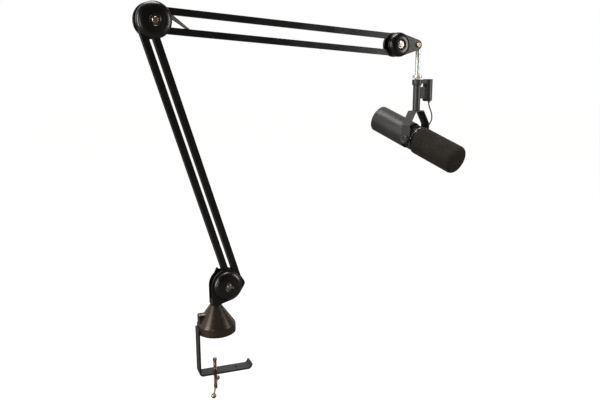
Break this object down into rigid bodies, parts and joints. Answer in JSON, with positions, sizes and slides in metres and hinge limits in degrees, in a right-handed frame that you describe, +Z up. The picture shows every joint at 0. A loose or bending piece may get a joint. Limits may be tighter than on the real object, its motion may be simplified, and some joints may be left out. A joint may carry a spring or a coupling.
{
  "type": "broadcast microphone on boom arm",
  "caption": "End-address broadcast microphone with foam windscreen, hung by its yoke from a two-section spring-balanced boom arm with a desk clamp.",
  "frame": {"origin": "centre of the base's underside, where it sits on the desk", "axes": "+Z up, +X along the boom's reach, -Y towards the front covers with the socket screws"},
  "size_m": [0.7195, 0.2406, 0.7982],
  "materials": {
    "black_paint": "satin black paint",
    "black_cover": "gloss black moulding",
    "bronze_grey": "satin bronze-grey enamel on cast metal",
    "bright_steel": "bright plated steel",
    "nickel_brass": "warm nickel-plated steel",
    "pale_chrome": "pale satin chrome",
    "spring_steel": "plain spring steel",
    "graphite_paint": "satin graphite paint",
    "black_plastic": "matt black moulding",
    "black_rubber": "black rubber",
    "dark_foam": "open-cell dark foam"
  },
  "bodies": {
    "base": {"base_cone": "bronze_grey", "base_pad": "black_rubber", "swivel_lock_screw": "bright_steel", "clamp_bracket": "black_paint", "clamp_bolt": "black_paint"},
    "clamp_foot": {"clamp_pad": "nickel_brass"},
    "clamp_spindle": {"clamp_screw": "nickel_brass"},
    "tommy": {"tommy_bar": "nickel_brass"},
    "shoulder": {"shoulder_post": "black_paint", "shoulder_plate_front": "black_paint", "shoulder_plate_rear": "black_paint", "shoulder_cover_front": "black_cover", "shoulder_cover_rear": "black_cover", "shoulder_screw": "bright_steel", "shoulder_pin_a": "black_paint", "shoulder_pin_b": "black_paint"},
    "lower_rear": {"lower_rail_rear": "black_paint", "lower_spring_rear": "spring_steel"},
    "lower_front": {"lower_rail_front": "black_paint", "lower_spring_front": "spring_steel"},
    "elbow": {"elbow_plate_front": "black_paint", "elbow_plate_rear": "black_paint", "elbow_cover_front": "black_cover", "elbow_cover_rear": "black_cover", "elbow_screw": "bright_steel", "elbow_pin_a": "black_paint", "elbow_pin_b": "black_paint", "elbow_pin_c": "black_paint", "elbow_pin_d": "black_paint"},
    "upper_bottom": {"upper_rail_bottom": "black_paint", "upper_spring": "spring_steel"},
    "upper_top": {"upper_rail_top": "black_paint", "draw_bar": "spring_steel"},
    "end": {"end_plate_front": "black_paint", "end_plate_rear": "black_paint", "end_cover_front": "black_cover", "end_cover_rear": "black_cover", "end_screw": "bright_steel", "tip_bolt": "bright_steel", "end_pin_a": "black_paint", "end_pin_b": "black_paint"},
    "rod": {"drop_rod": "pale_chrome"},
    "nut": {"lock_nut": "bright_steel"},
    "mount": {"mount_post": "graphite_paint", "connector_housing": "graphite_paint", "connector_insert": "black_plastic", "yoke": "graphite_paint", "lead": "black_rubber"},
    "knob_near": {"tilt_knob_near": "graphite_paint"},
    "knob_far": {"tilt_knob_far": "graphite_paint"},
    "mic": {"rear_shell": "graphite_paint", "rear_plate": "graphite_paint", "collar": "black_plastic", "grille_tube": "spring_steel", "foam_windscreen": "dark_foam", "capsule": "bright_steel", "shock_ring": "black_rubber", "transformer": "bright_steel"},
    "slider_left": {"switch_left": "black_plastic"},
    "slider_right": {"switch_right": "black_plastic"}
  },
  "joints": [
    {"name": "clamp_travel", "type": "slide", "parent": "base", "child": "clamp_foot", "axis": [0, 0, 1], "range_m": [-0.022, 0.018]},
    {"name": "clamp_screw_turn", "type": "hinge", "parent": "clamp_foot", "child": "clamp_spindle", "pos_m": [-0.00495, 0.0007, -0.059], "axis": [0, 0, 1], "range_deg": [-5300, 5300]},
    {"name": "tommy_slide", "type": "slide", "parent": "clamp_spindle", "child": "tommy", "axis": [-0.4555, -0.8902, 0], "range_m": [-0.03, 0.03]},
    {"name": "base_swivel", "type": "hinge", "parent": "base", "child": "shoulder", "pos_m": [0, 0, 0.0623], "axis": [0, 0, 1], "continuous": true},
    {"name": "lower_arm_lift", "type": "hinge", "parent": "shoulder", "child": "lower_rear", "pos_m": [0.033, 0, 0.1014], "axis": [0, 1, 0], "range_deg": [-15, 40]},
    {"name": "lower_arm_follow", "type": "hinge", "parent": "shoulder", "child": "lower_front", "pos_m": [0.0546, 0, 0.1014], "axis": [0, 1, 0], "range_deg": [-15.2, 40.2]},
    {"name": "elbow_level", "type": "hinge", "parent": "lower_rear", "child": "elbow", "pos_m": [-0.12939, 0, 0.62405], "axis": [0, 1, 0], "range_deg": [-40.2, 15.2]},
    {"name": "upper_arm_lift", "type": "hinge", "parent": "elbow", "child": "upper_bottom", "pos_m": [-0.08429, 0, 0.61605], "axis": [0, -1, 0], "range_deg": [-28, 32]},
    {"name": "upper_arm_follow", "type": "hinge", "parent": "elbow", "child": "upper_top", "pos_m": [-0.08429, 0, 0.65205], "axis": [0, -1, 0], "range_deg": [-28.2, 32.2]},
    {"name": "end_level", "type": "hinge", "parent": "upper_bottom", "child": "end", "pos_m": [0.44316, 0, 0.57695], "axis": [0, -1, 0], "range_deg": [-32.2, 28.2]},
    {"name": "rod_swing", "type": "hinge", "parent": "end", "child": "rod", "pos_m": [0.50566, 0, 0.59495], "axis": [0, -1, 0], "range_deg": [-40, 20]},
    {"name": "lock_nut_turn", "type": "hinge", "parent": "rod", "child": "nut", "pos_m": [0.51386, 0, 0.51725], "axis": [0, 0, 1], "range_deg": [0, 30]},
    {"name": "mount_swivel", "type": "hinge", "parent": "rod", "child": "mount", "pos_m": [0.51386, 0, 0.51695], "axis": [0, 0, 1], "range_deg": [-170, 170]},
    {"name": "near_knob_turn", "type": "hinge", "parent": "mount", "child": "knob_near", "pos_m": [0.51386, 0, 0.381], "axis": [-0.9573, -0.289, 0], "continuous": true},
    {"name": "far_knob_turn", "type": "hinge", "parent": "mount", "child": "knob_far", "pos_m": [0.51386, 0, 0.381], "axis": [0.9573, 0.289, 0], "continuous": true},
    {"name": "mic_tilt", "type": "hinge", "parent": "mount", "child": "mic", "pos_m": [0.51386, 0, 0.381], "axis": [-0.9573, -0.289, 0], "range_deg": [-24, 50]},
    {"name": "left_switch", "type": "slide", "parent": "mic", "child": "slider_left", "axis": [-0.1012, 0.3353, -0.9367], "range_m": [0, 0.003]},
    {"name": "right_switch", "type": "slide", "parent": "mic", "child": "slider_right", "axis": [-0.1012, 0.3353, -0.9367], "range_m": [0, 0.003]}
  ],
  "couplings": [
    {"joint": "clamp_screw_turn", "follows": "clamp_travel", "rad_per_m": 4188.8},
    {"joint": "lower_arm_follow", "follows": "lower_arm_lift", "ratio": 1},
    {"joint": "elbow_level", "follows": "lower_arm_lift", "ratio": -1},
    {"joint": "upper_arm_follow", "follows": "upper_arm_lift", "ratio": 1},
    {"joint": "end_level", "follows": "upper_arm_lift", "ratio": -1}
  ]
}
